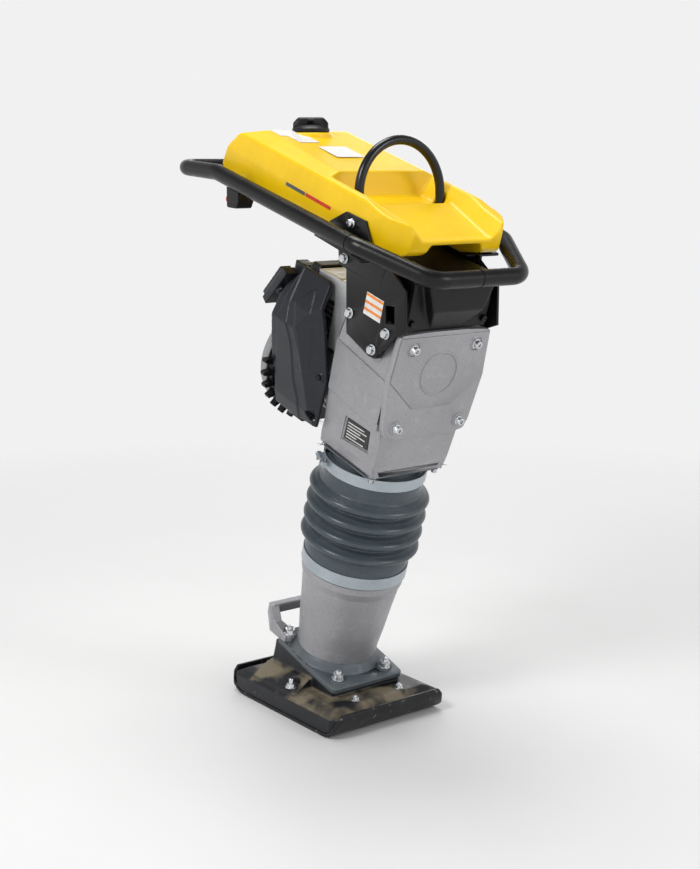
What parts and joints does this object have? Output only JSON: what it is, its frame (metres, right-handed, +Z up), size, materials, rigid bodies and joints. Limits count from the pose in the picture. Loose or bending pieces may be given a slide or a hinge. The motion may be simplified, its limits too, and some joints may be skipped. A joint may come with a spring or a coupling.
{
  "type": "jumping jack rammer",
  "caption": "Upright petrol tamping rammer: sprung leg with rubber bellows on a flat shoe, cast crankcase, rear engine, yellow fuel tank inside a looped tube handle.",
  "frame": {"origin": "centre of the flat sole, on the ground", "axes": "+X forward in the direction of travel, +Y to the machine's left, +Z up"},
  "size_m": [0.6618, 0.3436, 1.063],
  "materials": {
    "sole_steel": "worn black paint on steel with scuffs and dust",
    "shoe_plastic": "black moulded plastic with tan dusty scuffs",
    "zinc": "bright zinc plated fasteners",
    "slate_casting": "slate grey painted casting",
    "cast_aluminium": "silver grey grainy cast aluminium",
    "clamp_steel": "pale zinc plated steel band",
    "machined_steel": "machined steel",
    "spring_steel": "dark oiled spring steel",
    "bellows_rubber": "satin blue grey rubber",
    "machined_aluminium": "machined aluminium",
    "bronze": "bronze and plastic bearing bushes",
    "printed_plate": null,
    "black_plastic": "black moulded plastic",
    "filter_paper": "pleated paper element",
    "engine_aluminium": "light die cast aluminium",
    "shroud_plastic": "dark blue black moulded plastic",
    "starter_grey": "grey moulded starter cover",
    "black_steel": "black oxide screws",
    "powder_black": "satin black powder coat",
    "mount_rubber": "black rubber buffers",
    "yellow_plastic": "bright yellow moulded tank",
    "loop_sleeve": "black sleeved steel rod",
    "clutch_lining": "clutch shoes with brown lining",
    "pulley_plastic": "cream nylon pulley",
    "rope": "braided starter rope",
    "red_plastic": "red moulded controls"
  },
  "bodies": {
    "foot": {"shoe_plate": "sole_steel", "shoe_body": "shoe_plastic", "shoe_bolts": "zinc", "foot_flange": "slate_casting", "foot_cone": "cast_aluminium", "flange_nuts": "zinc", "foot_grip": "cast_aluminium", "lower_clamp": "clamp_steel", "spring_cylinder": "machined_steel", "spring_cap": "machined_steel", "lower_springs": "spring_steel", "upper_springs": "spring_steel", "bellows": "bellows_rubber"},
    "upper": {"crankcase": "cast_aluminium", "crankcase_cover": "cast_aluminium", "case_screws": "zinc", "guide_tube": "slate_casting", "guide_bush": "bronze", "upper_clamp": "clamp_steel", "bearings": "machined_steel", "rating_plate": "printed_plate", "air_filter_housing": "black_plastic", "air_filter_element": "filter_paper", "engine_block": "engine_aluminium", "engine_cylinder": "engine_aluminium", "spark_plug": "black_plastic", "carburettor": "engine_aluminium", "muffler": "engine_aluminium", "fan_housing": "shroud_plastic", "cylinder_cover": "shroud_plastic", "starter_cover": "starter_grey", "intake_grille": "black_plastic", "shroud_screws": "black_steel", "bracket_right": "powder_black", "bracket_left": "powder_black", "bracket_bolts": "zinc", "rubber_mounts": "mount_rubber", "handle_rear": "powder_black", "handle_front": "powder_black", "throttle_housing": "black_plastic", "tank": "yellow_plastic", "lifting_loop": "loop_sleeve"},
    "drive_piston": {"con_rod": "machined_steel", "piston_rod": "machined_steel", "wrist_pin": "machined_steel"},
    "crank_gear": {"crank_gear": "machined_steel"},
    "pinion": {"pinion_shaft": "machined_steel"},
    "engine_shaft": {"crankshaft": "machined_steel", "flywheel_fan": "machined_aluminium", "clutch_shoes": "clutch_lining"},
    "engine_piston": {"engine_piston": "machined_aluminium"},
    "starter_pulley": {"starter_pulley": "pulley_plastic"},
    "starter_grip": {"starter_grip": "shroud_plastic", "starter_rope": "rope"},
    "throttle_lever": {"throttle_lever": "red_plastic"},
    "stop_button": {"stop_button": "red_plastic"},
    "fuel_cap": {"fuel_cap": "black_plastic"}
  },
  "joints": [
    {"name": "ramming_stroke", "type": "slide", "parent": "foot", "child": "upper", "axis": [0.2985, 0, 0.9544], "range_m": [0, 0.065], "deforming": ["bellows", "lower_springs", "upper_springs"]},
    {"name": "piston_stroke", "type": "slide", "parent": "upper", "child": "drive_piston", "axis": [0.2985, 0, 0.9544], "range_m": [-0.04, 0]},
    {"name": "crank_turn", "type": "hinge", "parent": "upper", "child": "crank_gear", "pos_m": [0.1388, 0, 0.66996], "axis": [0.9544, 0, -0.2985], "range_deg": [0, 180]},
    {"name": "pinion_turn", "type": "hinge", "parent": "upper", "child": "pinion", "pos_m": [0.11121, 0, 0.58178], "axis": [0.9544, 0, -0.2985], "range_deg": [-1081, 0]},
    {"name": "engine_turn", "type": "hinge", "parent": "upper", "child": "engine_shaft", "pos_m": [0.00528, 0, 0.61491], "axis": [0.9544, 0, -0.2985], "continuous": true},
    {"name": "engine_piston_stroke", "type": "slide", "parent": "upper", "child": "engine_piston", "axis": [0.2985, 0, 0.9544], "range_m": [0, 0.034]},
    {"name": "starter_pull", "type": "slide", "parent": "upper", "child": "starter_grip", "axis": [-0.6654, -0.5003, 0.5541], "range_m": [0, 0.6], "stiffness_N_per_m": 10, "springref_m": -0.3, "deforming": ["starter_rope"]},
    {"name": "starter_pulley_turn", "type": "hinge", "parent": "upper", "child": "starter_pulley", "pos_m": [-0.07012, 0, 0.6385], "axis": [0.9544, 0, -0.2985], "range_deg": [0, 1147]},
    {"name": "throttle_turn", "type": "hinge", "parent": "upper", "child": "throttle_lever", "pos_m": [-0.078, -0.13, 0.922], "axis": [0, -1, 0], "range_deg": [0, 70]},
    {"name": "stop_press", "type": "slide", "parent": "upper", "child": "stop_button", "axis": [1, 0, 0], "range_m": [0, 0.0025], "stiffness_N_per_m": 400, "springref_m": -0.002},
    {"name": "cap_turn", "type": "hinge", "parent": "upper", "child": "fuel_cap", "pos_m": [-0.07, 0, 1.04], "axis": [0, 0, 1], "range_deg": [0, 120]}
  ],
  "couplings": [
    {"joint": "piston_stroke", "follows": "ramming_stroke", "ratio": -0.61538},
    {"joint": "crank_turn", "follows": "ramming_stroke", "rad_per_m": 48.332},
    {"joint": "pinion_turn", "follows": "ramming_stroke", "rad_per_m": -289.99},
    {"joint": "starter_pulley_turn", "follows": "starter_pull", "rad_per_m": 33.333}
  ]
}
